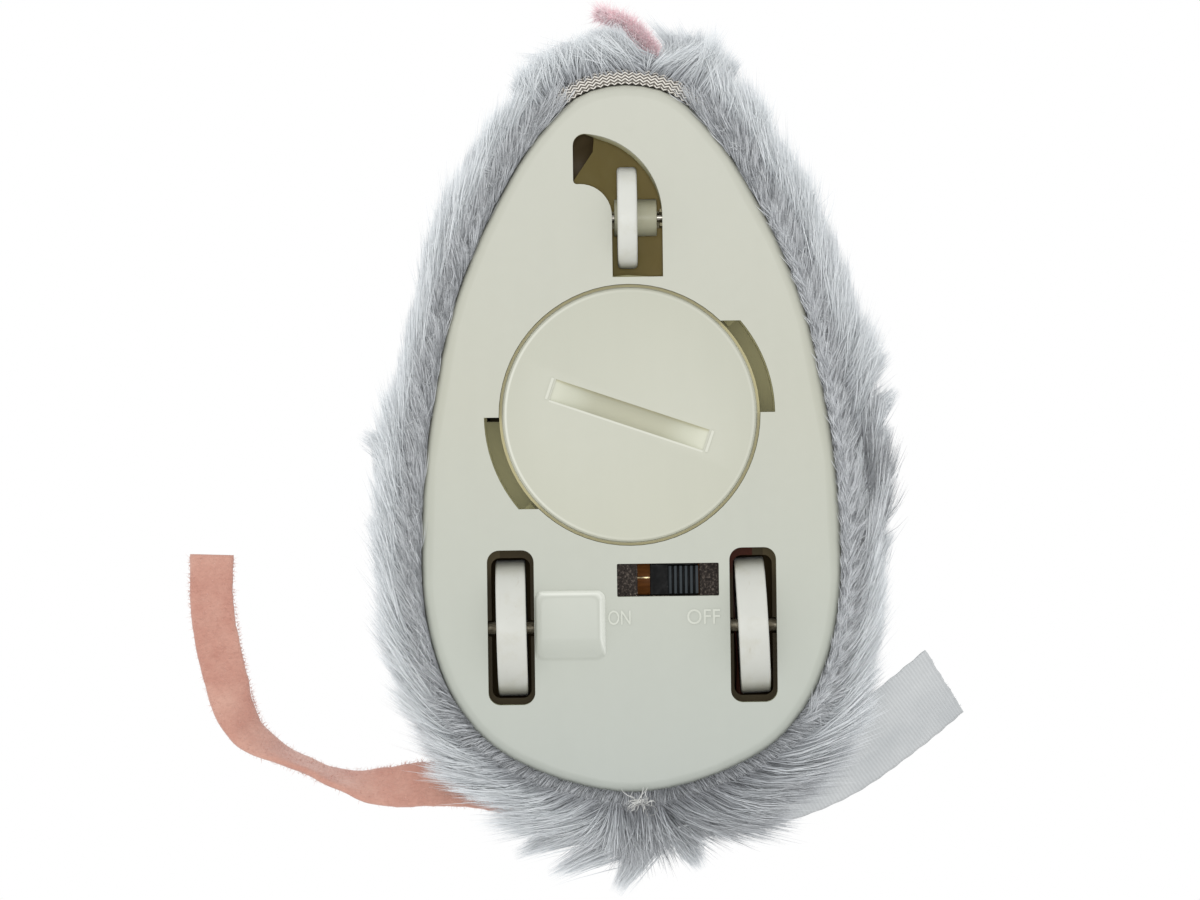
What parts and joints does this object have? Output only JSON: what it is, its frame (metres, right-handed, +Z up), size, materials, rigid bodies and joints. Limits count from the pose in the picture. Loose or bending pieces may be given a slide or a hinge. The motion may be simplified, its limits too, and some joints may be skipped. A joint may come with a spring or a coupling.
{
  "type": "motorised plush mouse cat toy",
  "caption": "Battery-driven plush mouse on wheels with a swinging front caster, geared rear axle, slide switch and bayonet battery cap, covered in long grey pile.",
  "frame": {"origin": "on the base plate's flat underside, on the centre plane, under the rear axle", "axes": "+Z up from the floor, +Y toward the tail end, +X to the mouse's left"},
  "size_m": [0.0739, 0.0813, 0.0384],
  "materials": {
    "ivory_plastic": "satin moulded",
    "white_plastic": "satin moulded",
    "natural_nylon": "satin moulded",
    "brown_plastic": "matt moulded",
    "black_plastic": "satin moulded",
    "steel": "plain",
    "brass": "plain",
    "phenolic": "matt",
    "board_green": "satin",
    "red_plastic": "satin",
    "eye_gloss": "gloss",
    "grey_pile": "long pile",
    "knit_elastic": "ribbed knit",
    "pink_fleece": "short pile",
    "salmon_felt": "felt",
    "satin_ribbon": "satin weave"
  },
  "bodies": {
    "chassis": {"base_plate": "ivory_plastic", "gearbox_cover": "ivory_plastic", "caster_cover": "ivory_plastic", "axle_cap_left": "ivory_plastic", "axle_cap_right": "ivory_plastic", "top_housing": "brown_plastic", "motor_end_cap": "black_plastic", "board_chip": "black_plastic", "wire_battery_black": "black_plastic", "wire_motor_black": "black_plastic", "wire_battery_red": "red_plastic", "wire_motor_red": "red_plastic", "idler_pin": "steel", "motor_can": "steel", "motor_strap": "steel", "gearbox_screw_1": "steel", "gearbox_screw_2": "steel", "caster_pivot_screw": "steel", "coin_cell": "steel", "board_screw_1": "steel", "board_screw_2": "steel", "switch_frame": "steel", "contact_positive": "brass", "contact_negative": "brass", "switch_base": "phenolic", "control_board": "board_green", "eye_left": "eye_gloss", "eye_right": "eye_gloss", "plush_skin": "grey_pile", "ear_left": "grey_pile", "ear_right": "grey_pile", "elastic_hem": "knit_elastic", "nose_tab": "pink_fleece", "tail": "salmon_felt", "care_label": "satin_ribbon"},
    "drive_axle": {"rear_axle": "steel", "rear_wheel_left": "white_plastic", "rear_wheel_right": "white_plastic", "axle_gear": "natural_nylon"},
    "idler": {"idler_gear": "natural_nylon"},
    "motor_rotor": {"motor_shaft": "steel", "motor_pinion": "brass"},
    "caster": {"caster_arm": "natural_nylon", "front_axle": "steel"},
    "caster_wheel": {"front_wheel": "white_plastic"},
    "switch": {"switch_slider": "black_plastic"},
    "cap": {"battery_cap": "ivory_plastic"}
  },
  "joints": [
    {"name": "axle_spin", "type": "hinge", "parent": "chassis", "child": "drive_axle", "pos_m": [0, 0, 0.00405], "axis": [1, 0, 0], "continuous": true},
    {"name": "idler_spin", "type": "hinge", "parent": "chassis", "child": "idler", "pos_m": [0, 0.00203, 0.00892], "axis": [1, 0, 0], "continuous": true},
    {"name": "rotor_spin", "type": "hinge", "parent": "chassis", "child": "motor_rotor", "pos_m": [0, 0.0073, 0.0068], "axis": [1, 0, 0], "continuous": true},
    {"name": "caster_swing", "type": "hinge", "parent": "chassis", "child": "caster", "pos_m": [-0.00442, -0.0386, 0.0024], "axis": [0, 0, -1], "range_deg": [0, 40]},
    {"name": "caster_roll", "type": "hinge", "parent": "caster", "child": "caster_wheel", "pos_m": [0.00003, -0.0386, 0.0024], "axis": [1, 0, 0], "continuous": true},
    {"name": "switch_slide", "type": "slide", "parent": "chassis", "child": "switch", "axis": [-1, 0, 0], "range_m": [0, 0.002]},
    {"name": "cap_twist", "type": "hinge", "parent": "chassis", "child": "cap", "pos_m": [0, -0.02, 0], "axis": [0, 0, -1], "range_deg": [0, 46]}
  ],
  "couplings": [
    {"joint": "idler_spin", "follows": "axle_spin", "ratio": -2.25},
    {"joint": "rotor_spin", "follows": "axle_spin", "ratio": 5.625}
  ]
}
